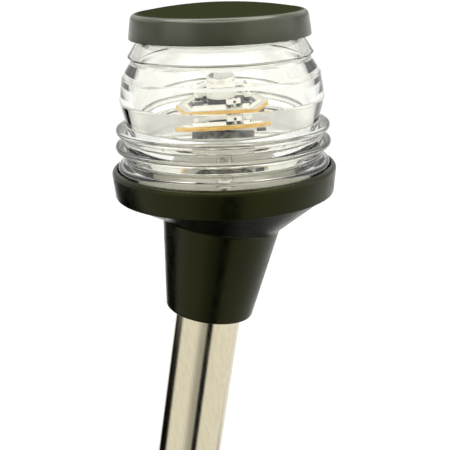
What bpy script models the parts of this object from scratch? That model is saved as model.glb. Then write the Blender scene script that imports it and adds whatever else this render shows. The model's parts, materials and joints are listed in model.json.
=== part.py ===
"""All-round navigation light for a boat: a clear faceted globe round one LED board, on a raked neck
and a plug-in pole with a locking collar.

Two local frames carry every sub-part. The pole frame has its origin at the foot of the plug and its +Z
up the pole, which leans RAKE away from the vertical towards +X. The head frame is upright: its +Z is the
globe's axis and its origin is at the flange ring's widest section. A third frame, on the head, carries
the LED board and what stands on it. World +Z is up, +X is the way the pole leans, and the world origin
is the pole frame's origin. Dimensions are in millimetres and become metres where points are made.
"""

import math

import bmesh
import bpy
from mathutils import Matrix, Vector

MM = 0.001
GAP = 0.3  # clearance between neighbouring pieces

# Pole frame: positions along the pole from the plug's foot
RAKE = math.radians(9.5)
TUBE_RADIUS = 11.11  # 7/8 in tube
TUBE_WALL = 1.1
AXES_MEET = 194.0  # where the pole's axis crosses the globe's
PLUG_RADIUS = 10.2
PLUG_SHOULDER_RADIUS = 12.6
PLUG_SHOULDER_FROM = 22.0
PLUG_SHOULDER_TO = 24.5
PLUG_TOP = 38.0
PLUG_SPIGOT_RADIUS = 9.6
TUBE_FROM = PLUG_SHOULDER_TO + GAP
TUBE_TO = AXES_MEET - 8.6
PIN_AT = 31.0
CONTACT_SPACING = 8.0
CONTACT_RADIUS = 1.6
CONTACT_TOP = 20.0
WIRE_RADIUS = 0.8

# Head frame: heights above the flange ring's widest section
AXES_MEET_BELOW = 9.3
RING_RADIUS = 37.06
RING_FOOT_RADIUS = 36.3
RING_FOOT = -7.7
RING_ROUND = 1.6
RING_FLOOR = -5.6
RING_FLOOR_INNER = 19.0
RING_INNER = RING_RADIUS - RING_ROUND
NECK_TOP = RING_FOOT - GAP
NECK_TOP_RADIUS = 34.8
NECK_BEND_RADIUS = 19.9
NECK_BEND_BELOW = 8.5  # down the pole from where the axes meet
NECK_FOOT_RADIUS = 14.84
NECK_FOOT_BELOW = 41.2
NECK_FOOT_ROUND = 1.3
NECK_PASSAGE_RADIUS = 6.5
NECK_FLOOR_BELOW = 8.0  # the socket's floor, where the pole's end stops
NECK_SCREW_AT = AXES_MEET - 30.0
SOCKET_RADIUS = TUBE_RADIUS + GAP

CAP_FOOT = 43.4
CAP_RADIUS = 29.3
CAP_WALL = 2.2
CAP_TOP_RADIUS = 28.5
CAP_ROUND = 1.9
CAP_ROUND_FROM = 49.4
CAP_TOP = 53.8
CAP_ROOF = 45.9

# Bayonet between the globe and the ring: lugs run under helical ramps
TABS = 3
LEAD = 9.0  # rise of the globe in one whole turn
TAB_CENTRE = math.radians(-75.0)
TAB_HALF = math.radians(20.0)
LUG_HALF = math.radians(12.0)
RAMP_MID = -2.3
TAB_TOP = -1.2
TAB_INNER = 33.9
LUG_OUTER = 35.0
LUG_FOOT = -4.1
SKIRT_RADIUS = 33.5
SKIRT_INNER = 30.4
SKIRT_FOOT = -4.3

# Light engine
DECK_FROM = RING_FLOOR + GAP
DECK_TO = -3.3
DECK_RADIUS = 29.6
DECK_SCREW_CIRCLE = 23.0
DECK_HOLE_RADIUS = 1.8
SCREW_TIP = -12.0
WIRE_HOLE_RADIUS = 5.0
POST_RADIUS = 9.0
POST_TOP = 15.4
POST_WALL = 1.0
BOARD_FROM = 18.35
BOARD_THICK = 1.5
BOARD_TIP = 15.6
BOARD_SHOULDER = 11.0
BOARD_HOLE_RADIUS = 3.2
BOARD_TILT = math.radians(-2.0)  # the board sits a little askew on the post
BOARD_TURN = math.radians(-3.0)
BOARD_SEAT = BOARD_THICK + GAP  # where parts stand on the board, above its underside
WIRE_TO = BOARD_FROM + BOARD_THICK / 2
CROWN_TOP = BOARD_FROM - 0.8
CROWN_HIGH = 4.6
CROWN_INNER = 6.6
RIM_TIP = 12.9
RIM_CORNER = 9.4
RIM_SHOULDER = 9.2
RIM_HIGH = 1.1
RIM_WALL = 0.8
RIM_GAP = (1.6, 7.0)  # open in front, where an LED sits in line with the rim
LED_SIZE = (4.4, 2.0, 2.5)
LED_PLACES = ((4.1, -7.4, 20.0), (8.2, 2.2, 100.0), (-2.4, 6.9, 186.0), (-7.4, 4.2, 232.0))
CAPACITOR_RADIUS = 4.9
CAPACITOR_FROM = BOARD_SEAT + 1.6
CAPACITOR_TO = 8.0

# Locking collar, on the pole
COLLAR_FROM = 8.0
COLLAR_TO = 33.0
COLLAR_RADIUS = 16.6
COLLAR_SKIRT_BORE = 13.4
COLLAR_BORE = TUBE_RADIUS + 0.4
SEAL_THICK = 1.2
COLLAR_STEP = TUBE_FROM + SEAL_THICK + GAP

HEAD_SEGMENTS = 48
POLE_SEGMENTS = 40
SMALL_SEGMENTS = 16
CUTTER_TURN = 0.1  # keeps a cutter's corners off its target's edges


def clear_scene():
    for thing in list(bpy.data.objects):
        bpy.data.objects.remove(thing, do_unlink=True)


def material(name, color, roughness, metallic=0.0, transmission=0.0):
    made = bpy.data.materials.new(name)
    made.use_nodes = True
    shader = made.node_tree.nodes["Principled BSDF"]
    shader.inputs["Base Color"].default_value = (*color, 1.0)
    shader.inputs["Roughness"].default_value = roughness
    shader.inputs["Metallic"].default_value = metallic
    shader.inputs["Transmission Weight"].default_value = transmission
    return made


def empty(name, place, tilt=0.0):
    made = bpy.data.objects.new(name, None)
    made.location = place
    made.rotation_euler = (0.0, tilt, 0.0)
    bpy.context.scene.collection.objects.link(made)
    return made


def finish(name, shape, parent, look):
    """Makes an object of the bmesh, smooth where its faces meet gently."""
    bmesh.ops.recalc_face_normals(shape, faces=shape.faces)
    mesh = bpy.data.meshes.new(name)
    shape.to_mesh(mesh)
    shape.free()
    mesh.shade_smooth()
    mesh.set_sharp_from_angle(angle=math.radians(35.0))
    made = bpy.data.objects.new(name, mesh)
    bpy.context.scene.collection.objects.link(made)
    made.parent = parent
    if look is not None:
        mesh.materials.append(look)
    return made


def turned(name, profile, parent, look, segments=HEAD_SEGMENTS, closed=True, place=(0.0, 0.0, 0.0)):
    """Spins a profile of (radius, height) points round +Z. An open profile starts and ends on the axis."""
    shape = bmesh.new()
    corners = [shape.verts.new((r * MM, 0.0, z * MM)) for r, z in profile]
    pairs = list(zip(corners, corners[1:]))
    if closed:
        pairs.append((corners[-1], corners[0]))
    edges = [shape.edges.new(pair) for pair in pairs]
    bmesh.ops.spin(
        shape,
        geom=corners + edges,
        cent=(0.0, 0.0, 0.0),
        axis=(0.0, 0.0, 1.0),
        angle=2 * math.pi,
        steps=segments,
    )
    bmesh.ops.remove_doubles(shape, verts=shape.verts, dist=1e-7)
    made = finish(name, shape, parent, look)
    made.location = Vector(place) * MM
    return made


def arc(r, z, radius, start, end, steps):
    """Points on an arc about (r, z), by angle in degrees from the +r direction."""
    turns = [math.radians(start + (end - start) * i / steps) for i in range(steps + 1)]
    return [(r + radius * math.cos(a), z + radius * math.sin(a)) for a in turns]


def cord_section(r, z, radius, sides=6):
    """The round section of a seal cord."""
    return arc(r, z, radius, 0.0, 360.0 * (sides - 1) / sides, sides - 1)


def prism(name, outline, bottom, top, parent, look, bevel=0.0):
    """Extrudes an outline of (x, y) points from bottom to top."""
    shape = bmesh.new()
    face = shape.faces.new([shape.verts.new((x * MM, y * MM, bottom * MM)) for x, y in outline])
    grown = bmesh.ops.extrude_face_region(shape, geom=[face])
    raised = [item for item in grown["geom"] if isinstance(item, bmesh.types.BMVert)]
    bmesh.ops.translate(shape, verts=raised, vec=(0.0, 0.0, (top - bottom) * MM))
    if bevel:
        bmesh.ops.bevel(shape, geom=shape.edges[:], offset=bevel * MM, segments=1, affect="EDGES")
    return finish(name, shape, parent, look)


def rectangle(wide, deep, cx=0.0, cy=0.0, turn=0.0):
    """Corners of a rectangle about (cx, cy), turned by degrees about its centre."""
    angle = math.radians(turn)
    signs = ((-1, -1), (1, -1), (1, 1), (-1, 1))
    flat = [(sx * wide / 2, sy * deep / 2) for sx, sy in signs]
    return [
        (cx + x * math.cos(angle) - y * math.sin(angle), cy + x * math.sin(angle) + y * math.cos(angle))
        for x, y in flat
    ]


def boolean(target, other, operation):
    """Cuts or joins with a helper, which stays out of the part."""
    other.hide_render = True
    other.display_type = "WIRE"
    modifier = target.modifiers.new(f"{operation.lower()} {other.name}", "BOOLEAN")
    modifier.operation = operation
    modifier.object = other


def drill(target, name, radius, low, high, place, parent, segments=SMALL_SEGMENTS):
    """Cuts a hole along the parent's +Z, from low to high, at place."""
    profile = [(0.0, low), (radius, low), (radius, high), (0.0, high)]
    spot = (place[0], place[1], 0.0)
    cutter = turned(name, profile, parent, None, segments, closed=False, place=spot)
    cutter.rotation_euler[2] = CUTTER_TURN
    boolean(target, cutter, "DIFFERENCE")


def on_circle(radius, angle):
    return radius * math.cos(angle), radius * math.sin(angle)


def curved_block(name, inner, outer, centre, half, low_of, high_of, parent, steps=8):
    """A block that follows the ring, with heights given as functions of the angle from its centre."""
    shape = bmesh.new()
    sections = []
    for i in range(steps + 1):
        offset = half * (2 * i / steps - 1)
        corners = (
            (inner, low_of(offset)),
            (outer, low_of(offset)),
            (outer, high_of(offset)),
            (inner, high_of(offset)),
        )
        section = []
        for r, z in corners:
            x, y = on_circle(r, centre + offset)
            section.append(shape.verts.new((x * MM, y * MM, z * MM)))
        sections.append(section)
    for one, two in zip(sections, sections[1:]):
        for i in range(4):
            j = (i + 1) % 4
            shape.faces.new((one[i], one[j], two[j], two[i]))
    shape.faces.new(sections[0])
    shape.faces.new(sections[-1])
    return finish(name, shape, parent, None)


def ramp_height(offset):
    """Underside of a ramp, which climbs with the globe's lead."""
    return RAMP_MID + LEAD * offset / (2 * math.pi)


def lug_height(offset):
    return ramp_height(offset) - GAP


# Globe and cap


def globe_outside():
    """From the top's centre down the outside to the skirt's foot."""
    prism_ring = [(26.6, 44.4), (26.7, 43.2), (29.9, 38.0), (29.1, 37.2)]
    facets = [(29.4, 35.8), (32.1, 31.7), (33.3, 24.0), (31.55, 16.3)]
    upper_rib = arc(33.85, 14.4, 1.2, 75.0, -75.0, 4)
    lower_rib = arc(34.2, 9.0, 1.2, 75.0, -75.0, 4)
    upper_groove, lower_groove = [(32.6, 11.7)], [(32.3, 5.4)]
    flange = arc(33.35, 1.9, 1.6, 80.0, 0.0, 3)
    skirt = [(34.95, -0.6), (SKIRT_RADIUS, -0.6), (SKIRT_RADIUS, SKIRT_FOOT)]
    ribs = upper_rib + upper_groove + lower_rib + lower_groove
    return [(0.0, 44.4)] + prism_ring + facets + ribs + flange + skirt


def globe_inside():
    """From the skirt's foot, past its seal groove, up the inside to the ceiling's centre."""
    groove = [(32.9, SKIRT_FOOT), (32.9, -3.7), (31.2, -3.7), (31.2, SKIRT_FOOT)]
    wall = [(SKIRT_INNER, SKIRT_FOOT), (29.6, 17.0), (29.2, 30.0), (26.8, 36.6)]
    ceiling = arc(22.0, 39.7, 2.5, 40.0, 90.0, 3)
    return groove + wall + ceiling + [(0.0, 42.2)]


def make_globe(head, look):
    """Clear globe with its prism ring, three facets, two ribs and foot flange, and lugs on its skirt."""
    globe = turned("globe_lens", globe_outside() + globe_inside(), head, look, closed=False)
    for i in range(TABS):
        centre = TAB_CENTRE + i * 2 * math.pi / TABS
        inner = SKIRT_RADIUS - 0.8
        lug = curved_block(
            f"lug_{i}", inner, LUG_OUTER, centre, LUG_HALF, lambda _: LUG_FOOT, lug_height, head
        )
        boolean(globe, lug, "UNION")


def make_cap(head, look):
    """Drafted cap with a rounded rim and a low dome, hollow under its skirt."""
    rim = arc(CAP_TOP_RADIUS - CAP_ROUND, CAP_ROUND_FROM, CAP_ROUND, 4.0, 80.0, 4)
    flat = CAP_TOP_RADIUS - CAP_ROUND
    inner = CAP_RADIUS - CAP_WALL
    under = [(0.0, CAP_ROOF), (inner, CAP_ROOF), (inner, CAP_FOOT), (CAP_RADIUS, CAP_FOOT)]
    rise = CAP_TOP - CAP_ROUND_FROM - CAP_ROUND
    dome = [(flat * (1 - k / 4), CAP_TOP - rise * (1 - k / 4) ** 2) for k in range(1, 5)]
    turned("top_cap", under + rim + dome, head, look, closed=False)


def make_cap_seal(head, look):
    turned("cap_seal", cord_section(23.5, 45.15, 0.45), head, look, 32)


def make_globe_seal(head, look):
    """Cord ring in the groove under the globe's skirt."""
    turned("globe_seal", cord_section(32.05, -4.65, 0.7), head, look)


# Flange ring and neck


def make_flange_ring(head, look):
    """Ring that holds the globe: rounded rim, drafted side, floor, and ramps inside its wall."""
    rim = arc(RING_INNER, 0.0, RING_ROUND, 0.0, 90.0, 4)
    chamfer = 0.4
    foot = [(RING_FLOOR_INNER, RING_FOOT), (RING_FOOT_RADIUS - chamfer, RING_FOOT)]
    foot.append((RING_FOOT_RADIUS, RING_FOOT + chamfer))
    inside = [(RING_INNER, RING_FLOOR), (RING_FLOOR_INNER, RING_FLOOR)]
    ring = turned("flange_ring", foot + rim + inside, head, look)
    for i in range(TABS):
        centre = TAB_CENTRE + i * 2 * math.pi / TABS
        tab = curved_block(
            f"tab_{i}", TAB_INNER, RING_INNER + 0.6, centre, TAB_HALF, ramp_height, lambda _: TAB_TOP, head
        )
        boolean(ring, tab, "UNION")
    for i, (x, y) in enumerate(deck_screw_places()):
        drill(ring, f"ring_hole_{i}", DECK_HOLE_RADIUS, RING_FOOT - 1, RING_FLOOR + 1, (x, y), head)


def neck_radius(below):
    """Radius of the neck's cone at a distance down the pole from where the axes meet."""
    share = (below - NECK_BEND_BELOW) / (NECK_FOOT_BELOW - NECK_BEND_BELOW)
    return NECK_BEND_RADIUS + (NECK_FOOT_RADIUS - NECK_BEND_RADIUS) * share


def neck_sections():
    """(radius, height, whether square to the pole) down the outside and back up the bore."""
    bend = -AXES_MEET_BELOW
    round_from = NECK_FOOT_BELOW - NECK_FOOT_ROUND
    sections = [(NECK_TOP_RADIUS, NECK_TOP, False), (NECK_BEND_RADIUS, bend - NECK_BEND_BELOW, True)]
    corner = arc(neck_radius(round_from) - NECK_FOOT_ROUND, bend - round_from, NECK_FOOT_ROUND, 0.0, -90.0, 3)
    sections += [(r, z, True) for r, z in corner]
    floor = bend - NECK_FLOOR_BELOW
    sections += [(SOCKET_RADIUS, bend - NECK_FOOT_BELOW, True), (SOCKET_RADIUS, floor, True)]
    sections += [(NECK_PASSAGE_RADIUS, floor, True), (NECK_PASSAGE_RADIUS, NECK_TOP, False)]
    return sections


def make_neck(head, pole, look):
    """Cone under the flange ring that runs into the raked socket for the pole."""
    lean = Matrix.Rotation(RAKE, 3, "Y")
    pivot = Vector((0.0, 0.0, -AXES_MEET_BELOW))
    shape = bmesh.new()
    loops = []
    for radius, height, square_to_pole in neck_sections():
        loop = []
        for i in range(HEAD_SEGMENTS):
            x, y = on_circle(radius, i * 2 * math.pi / HEAD_SEGMENTS)
            point = Vector((x, y, height))
            if square_to_pole:
                point = pivot + lean @ (point - pivot)
            loop.append(shape.verts.new(point * MM))
        loops.append(loop)
    for one, two in zip(loops, loops[1:] + loops[:1]):
        for i in range(HEAD_SEGMENTS):
            j = (i + 1) % HEAD_SEGMENTS
            shape.faces.new((one[i], one[j], two[j], two[i]))
    neck = finish("neck_socket", shape, head, look)
    for i, (x, y) in enumerate(deck_screw_places()):
        drill(neck, f"neck_hole_{i}", DECK_HOLE_RADIUS, SCREW_TIP - 0.6, NECK_TOP + 1, (x, y), head)
    side_hole = turned(
        "neck_side_hole",
        [(0.0, 8.0), (2.3, 8.0), (2.3, 20.0), (0.0, 20.0)],
        pole,
        None,
        SMALL_SEGMENTS,
        closed=False,
        place=(0.0, 0.0, NECK_SCREW_AT),
    )
    side_hole.rotation_euler = (-math.pi / 2, 0.0, 0.0)
    boolean(neck, side_hole, "DIFFERENCE")


def make_neck_screw(pole, look):
    """Grub screw through the back of the neck that holds the pole, with a socket in its end."""
    profile = [(0.0, 11.4), (2.0, 11.4), (2.0, 15.2), (1.0, 15.2), (1.0, 13.6), (0.0, 13.6)]
    place = (0.0, 0.0, NECK_SCREW_AT)
    screw = turned("neck_screw", profile, pole, look, SMALL_SEGMENTS, closed=False, place=place)
    screw.rotation_euler = (-math.pi / 2, 0.0, 0.0)


# Light engine inside the globe


def deck_screw_places():
    return [on_circle(DECK_SCREW_CIRCLE, math.radians(30.0 + 120.0 * i)) for i in range(3)]


def make_deck(head, look):
    """Pale floor of the globe, with a hole for the wires and three for its screws."""
    hole = WIRE_HOLE_RADIUS
    profile = [(hole, DECK_FROM), (DECK_RADIUS, DECK_FROM), (DECK_RADIUS, DECK_TO), (hole, DECK_TO)]
    deck = turned("deck_plate", profile, head, look)
    for i, (x, y) in enumerate(deck_screw_places()):
        drill(deck, f"deck_hole_{i}", DECK_HOLE_RADIUS, DECK_FROM - 1, DECK_TO + 1, (x, y), head)


def make_deck_screws(head, look):
    """Pan-head screws that clamp deck, ring and neck together."""
    under_head = DECK_TO + GAP
    head_round = arc(1.6, under_head + 0.7, 1.2, 0.0, 90.0, 3)
    profile = [(0.0, SCREW_TIP), (1.1, SCREW_TIP), (1.5, SCREW_TIP + 0.6)]
    profile += [(1.5, under_head), (2.8, under_head)]
    for i, (x, y) in enumerate(deck_screw_places()):
        turned(
            f"deck_screw_{i + 1}",
            profile + head_round + [(0.0, under_head + 1.9)],
            head,
            look,
            SMALL_SEGMENTS,
            closed=False,
            place=(x, y, 0.0),
        )


def make_grommet(head, look):
    """Rubber grommet round the edge of the deck's wire hole."""
    lip, neck, bore = 6.4, WIRE_HOLE_RADIUS - GAP, 3.4
    low, high = DECK_FROM - GAP, DECK_TO + GAP
    profile = [(bore, low - 0.8), (lip, low - 0.8), (lip, low), (neck, low), (neck, high), (lip, high)]
    turned("wire_grommet", profile + [(lip, high + 0.8), (bore, high + 0.8)], head, look, 24)


def make_post(head, look):
    """Polished sleeve that carries the board, with a turned-out foot."""
    foot = DECK_TO + GAP
    outside = [(POST_RADIUS + 2.5, foot), (POST_RADIUS + 2.5, foot + 0.8), (POST_RADIUS, foot + 0.8)]
    bore = POST_RADIUS - POST_WALL
    inside = [(POST_RADIUS, POST_TOP), (bore, POST_TOP), (bore, foot)]
    turned("led_post", outside + inside, head, look, 32)


def make_crown(head, look):
    """Spring crown between the post and the board: arches cut in its lower edge grip the sleeve."""
    inner, outer = POST_RADIUS + GAP, POST_RADIUS + 1.1
    arches, arch_radius = 8, 1.9
    low, roof = CROWN_TOP - CROWN_HIGH, CROWN_TOP - 0.9
    outline = [(outer, low), (outer, CROWN_TOP), (CROWN_INNER, CROWN_TOP), (CROWN_INNER, roof)]
    outline += [(inner, roof), (inner, low)]
    crown = turned("post_crown", outline, head, look, 32)
    for i in range(arches // 2):
        hole = turned(
            f"arch_{i}",
            [(0.0, -12.0), (arch_radius, -12.0), (arch_radius, 12.0), (0.0, 12.0)],
            head,
            None,
            12,
            closed=False,
            place=(0.0, 0.0, low),
        )
        hole.rotation_euler = (math.pi / 2, 0.0, math.radians(180.0 * i / (arches // 2) + 12.0))
        boolean(crown, hole, "DIFFERENCE")


def hexagon(tip, corner, shoulder):
    """A long hexagon with its tips on the x axis and corners at (corner, shoulder)."""
    front = [(-tip, 0), (-corner, -shoulder), (corner, -shoulder)]
    return front + [(-x, -y) for x, y in front]


def make_board(board_frame, look):
    """Long hexagonal circuit board, with a hole in its middle for the wires."""
    outline = hexagon(BOARD_TIP, BOARD_SHOULDER, BOARD_SHOULDER)
    board = prism("led_board", outline, 0.0, BOARD_THICK, board_frame, look)
    drill(board, "board_hole", BOARD_HOLE_RADIUS, -1.0, BOARD_THICK + 1, (0.0, 0.0), board_frame, 24)


def make_board_rim(board_frame, look):
    """White rim that stands on the board, open where the front LED sits in line with it."""
    gap_from, gap_to = RIM_GAP
    outer = hexagon(RIM_TIP, RIM_CORNER, RIM_SHOULDER)
    inner = hexagon(RIM_TIP - RIM_WALL, RIM_CORNER - RIM_WALL / 2, RIM_SHOULDER - RIM_WALL)
    front, inside_front = outer[1][1], inner[1][1]
    outline = [(gap_to, front)] + outer[2:] + outer[:2] + [(gap_from, front), (gap_from, inside_front)]
    outline += inner[1::-1] + inner[:1:-1] + [(gap_to, inside_front)]
    prism("board_rim", outline, BOARD_SEAT, BOARD_SEAT + RIM_HIGH, board_frame, look)


def make_leds(board_frame, look):
    """Side-facing white LED packages round the board."""
    wide, deep, tall = LED_SIZE
    for i, (x, y, turn) in enumerate(LED_PLACES):
        outline = rectangle(wide, deep, x, y, turn)
        prism(f"led_{i + 1}", outline, BOARD_SEAT, BOARD_SEAT + tall, board_frame, look, bevel=0.2)


def make_capacitor(board_frame, base_look, can_look):
    """Round aluminium capacitor on its square base, in the middle of the board."""
    cut, half = 2.6, 4.3
    base_top = CAPACITOR_FROM - GAP
    outline = [(-half, -half + cut), (-half + cut, -half), (half, -half), (half, half)]
    outline += [(-half + cut, half), (-half, half - cut)]
    prism("capacitor_base", outline, BOARD_SEAT, base_top, board_frame, base_look)
    groove = CAPACITOR_FROM + 1.1
    waist = CAPACITOR_RADIUS - 0.3
    profile = [(0.0, CAPACITOR_FROM), (CAPACITOR_RADIUS, CAPACITOR_FROM), (CAPACITOR_RADIUS, groove - 0.3)]
    profile += [(waist, groove), (CAPACITOR_RADIUS, groove + 0.3), (CAPACITOR_RADIUS, CAPACITOR_TO - 0.3)]
    profile += [(waist, CAPACITOR_TO), (0.0, CAPACITOR_TO)]
    turned("capacitor_can", profile, board_frame, can_look, 24, closed=False)


def make_chips(board_frame, look):
    """Driver parts: a diode under the board and a regulator on it."""
    under = rectangle(3.0, 2.2, 12.4, -2.4)
    prism("diode", under, -GAP - 1.2, -GAP, board_frame, look, bevel=0.2)
    above = rectangle(3.0, 2.4, 2.6, 6.7)
    prism("regulator", above, BOARD_SEAT, BOARD_SEAT + 1.4, board_frame, look, bevel=0.2)


# Pole, plug and wires


def make_tube(pole, look):
    """Stainless tube, with a hole low down for the plug's pin."""
    bore = TUBE_RADIUS - TUBE_WALL
    profile = [(bore, TUBE_FROM), (TUBE_RADIUS, TUBE_FROM), (TUBE_RADIUS, TUBE_TO), (bore, TUBE_TO)]
    tube = turned("pole_tube", profile, pole, look, POLE_SEGMENTS)
    boolean(tube, pin_hole("tube_pin_hole", pole), "DIFFERENCE")


def pin_hole(name, pole):
    """Cross hole through one side of the tube and into the plug's spigot."""
    profile = [(0.0, 5.0), (1.8, 5.0), (1.8, 14.0), (0.0, 14.0)]
    hole = turned(name, profile, pole, None, SMALL_SEGMENTS, closed=False, place=(0.0, 0.0, PIN_AT))
    hole.rotation_euler = (-math.pi / 2, 0.0, 0.0)
    return hole


def make_plug(pole, look):
    """Plug moulding: keyed nose with a seal groove, shoulder, and a spigot inside the tube."""
    nose = [(0.0, 0.0), (PLUG_RADIUS - 0.8, 0.0), (PLUG_RADIUS, 0.8), (PLUG_RADIUS, 12.8)]
    groove = [(8.8, 12.8), (8.8, 15.2), (PLUG_RADIUS, 15.2), (PLUG_RADIUS, PLUG_SHOULDER_FROM)]
    shoulder = [(PLUG_SHOULDER_RADIUS, PLUG_SHOULDER_FROM), (PLUG_SHOULDER_RADIUS, PLUG_SHOULDER_TO)]
    spigot = [(PLUG_SPIGOT_RADIUS, PLUG_SHOULDER_TO), (PLUG_SPIGOT_RADIUS, PLUG_TOP), (0.0, PLUG_TOP)]
    plug = turned("plug_body", nose + groove + shoulder + spigot, pole, look, 32, closed=False)
    for side in (-1, 1):
        spot = (side * CONTACT_SPACING / 2, 0.0)
        drill(plug, f"contact_hole_{side + 1}", CONTACT_RADIUS + GAP, -1.0, PLUG_TOP + 1, spot, pole, 12)
    key = prism("key_slot", rectangle(3.0, 3.0, 0.0, -PLUG_RADIUS), -1.0, 9.0, pole, None)
    boolean(plug, key, "DIFFERENCE")
    boolean(plug, pin_hole("plug_pin_hole", pole), "DIFFERENCE")


def make_plug_pin(pole, look):
    """Pin that holds the plug in the tube, flush with the tube's outside."""
    profile = [(0.0, 5.4), (1.3, 5.4), (1.5, 5.6), (1.5, 10.8), (0.0, 10.8)]
    pin = turned("plug_pin", profile, pole, look, SMALL_SEGMENTS, closed=False, place=(0.0, 0.0, PIN_AT))
    pin.rotation_euler = (-math.pi / 2, 0.0, 0.0)


def make_contacts(pole, look):
    """Two female contacts, open towards the deck socket's pins."""
    bore = 0.9
    outside = [(CONTACT_RADIUS, 0.6), (CONTACT_RADIUS, CONTACT_TOP), (0.0, CONTACT_TOP)]
    for i, side in enumerate((-1, 1)):
        place = (side * CONTACT_SPACING / 2, 0.0, 0.0)
        profile = [(0.0, 12.0), (bore, 12.0), (bore, 0.6)] + outside
        turned(f"plug_contact_{i + 1}", profile, pole, look, 12, closed=False, place=place)


def make_plug_seal(pole, look):
    turned("plug_seal", cord_section(10.0, 14.0, 0.9), pole, look, 32)


def make_collar(pole, look):
    """Locking collar that slides and turns on the pole, with finger flutes round it."""
    chamfer, shoulder, round_radius = 0.8, COLLAR_TO - 5.0, 3.0
    skirt = [(COLLAR_SKIRT_BORE, COLLAR_STEP), (COLLAR_SKIRT_BORE, COLLAR_FROM)]
    side = [(COLLAR_RADIUS - chamfer, COLLAR_FROM), (COLLAR_RADIUS, COLLAR_FROM + chamfer)]
    side.append((COLLAR_RADIUS, shoulder))
    top = arc(COLLAR_RADIUS - round_radius, shoulder, round_radius, 25.0, 75.0, 2)
    neck = [(COLLAR_BORE + 1.4, COLLAR_TO - 1.4), (COLLAR_BORE + 1.0, COLLAR_TO), (COLLAR_BORE, COLLAR_TO)]
    profile = skirt + side + top + neck + [(COLLAR_BORE, COLLAR_STEP)]
    collar = turned("locking_collar", profile, pole, look)
    flutes = 12
    for i in range(flutes):
        x, y = on_circle(COLLAR_RADIUS + 1.6, 2 * math.pi * (i + 0.5) / flutes)
        drill(collar, f"flute_{i}", 2.4, COLLAR_FROM - 1, COLLAR_TO - 7.0, (x, y), pole, 12)


def make_collar_seal(pole, look):
    """Flat washer between the plug's shoulder and the collar."""
    inner, outer = COLLAR_BORE, COLLAR_SKIRT_BORE - 0.5
    low, high = TUBE_FROM, TUBE_FROM + SEAL_THICK
    turned("collar_seal", [(inner, low), (outer, low), (outer, high), (inner, high)], pole, look, 32)


def smooth_route(points, count):
    """Points along a Catmull-Rom curve through the given ones."""
    ends = [points[0] * 2 - points[1]] + points + [points[-1] * 2 - points[-2]]
    route = []
    for i in range(count):
        place = i / (count - 1) * (len(points) - 1)
        k = min(int(place), len(points) - 2)
        t = place - k
        a, b, c, d = ends[k : k + 4]
        bend = (a * 2 - b * 5 + c * 4 - d) * t * t + (b * 3 - a - c * 3 + d) * t * t * t
        route.append((b * 2 + (c - a) * t + bend) / 2)
    return route


def make_wire(name, side, pole_place, head_place, look):
    """Insulated wire from a contact, up inside the pole and the post, into the board's hole."""
    x = side * CONTACT_SPACING / 2
    spread = 1.5 * side
    in_pole = [(x, 0, CONTACT_TOP + GAP), (x, 0, 34), (spread, spread, 60), (spread, spread, 100)]
    in_pole += [(spread, spread, 140), (spread, spread, 180)]
    in_head = [(spread, spread, -8), (spread, spread, 2), (spread, spread, 12), (spread, spread, WIRE_TO)]
    points = [pole_place @ (Vector(p) * MM) for p in in_pole]
    points += [head_place @ (Vector(p) * MM) for p in in_head]
    curve = bpy.data.curves.new(name, "CURVE")
    curve.dimensions = "3D"
    curve.bevel_depth = WIRE_RADIUS * MM
    curve.bevel_resolution = 2
    curve.use_fill_caps = True
    spline = curve.splines.new("POLY")
    route = smooth_route(points, 46)
    spline.points.add(len(route) - 1)
    for point, place in zip(spline.points, route):
        point.co = (*place, 1.0)
    curve.materials.append(look)
    bpy.context.scene.collection.objects.link(bpy.data.objects.new(name, curve))


def main():
    clear_scene()
    black = material("black_plastic", (0.02, 0.021, 0.014), 0.45)
    clear = material("clear_polycarbonate", (0.95, 0.96, 0.94), 0.05, transmission=1.0)
    rubber = material("seal_rubber", (0.015, 0.015, 0.015), 0.8)
    steel = material("stainless", (0.72, 0.69, 0.62), 0.18, metallic=1.0)
    white = material("white_plastic", (0.85, 0.84, 0.78), 0.5)
    board = material("circuit_board", (0.62, 0.42, 0.12), 0.5)
    package = material("led_package", (0.9, 0.88, 0.8), 0.4)
    dark = material("dark_component", (0.03, 0.03, 0.03), 0.5)
    aluminium = material("aluminium_can", (0.8, 0.8, 0.78), 0.3, metallic=1.0)
    brass = material("brass_contact", (0.78, 0.6, 0.28), 0.3, metallic=1.0)
    red = material("red_insulation", (0.5, 0.03, 0.02), 0.5)

    across, up = math.sin(RAKE) * AXES_MEET, math.cos(RAKE) * AXES_MEET
    pole = empty("pole_frame", (0.0, 0.0, 0.0), RAKE)
    head = empty("head_frame", Vector((across, 0.0, up + AXES_MEET_BELOW)) * MM)
    board_frame = empty("board_frame", Vector((0.0, 0.0, BOARD_FROM)) * MM, BOARD_TILT)
    board_frame.rotation_euler[2] = BOARD_TURN
    board_frame.parent = head
    bpy.context.view_layer.update()

    make_globe(head, clear)
    make_cap(head, black)
    make_cap_seal(head, rubber)
    make_globe_seal(head, rubber)
    make_flange_ring(head, black)
    make_neck(head, pole, black)
    make_neck_screw(pole, steel)
    make_deck(head, white)
    make_deck_screws(head, steel)
    make_grommet(head, rubber)
    make_post(head, steel)
    make_crown(head, dark)
    make_board(board_frame, board)
    make_board_rim(board_frame, white)
    make_leds(board_frame, package)
    make_capacitor(board_frame, dark, aluminium)
    make_chips(board_frame, dark)
    make_tube(pole, steel)
    make_plug(pole, black)
    make_plug_pin(pole, steel)
    make_contacts(pole, brass)
    make_plug_seal(pole, rubber)
    make_collar(pole, black)
    make_collar_seal(pole, rubber)
    make_wire("wire_red", -1, pole.matrix_world, head.matrix_world, red)
    make_wire("wire_black", 1, pole.matrix_world, head.matrix_world, rubber)


main()
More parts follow.
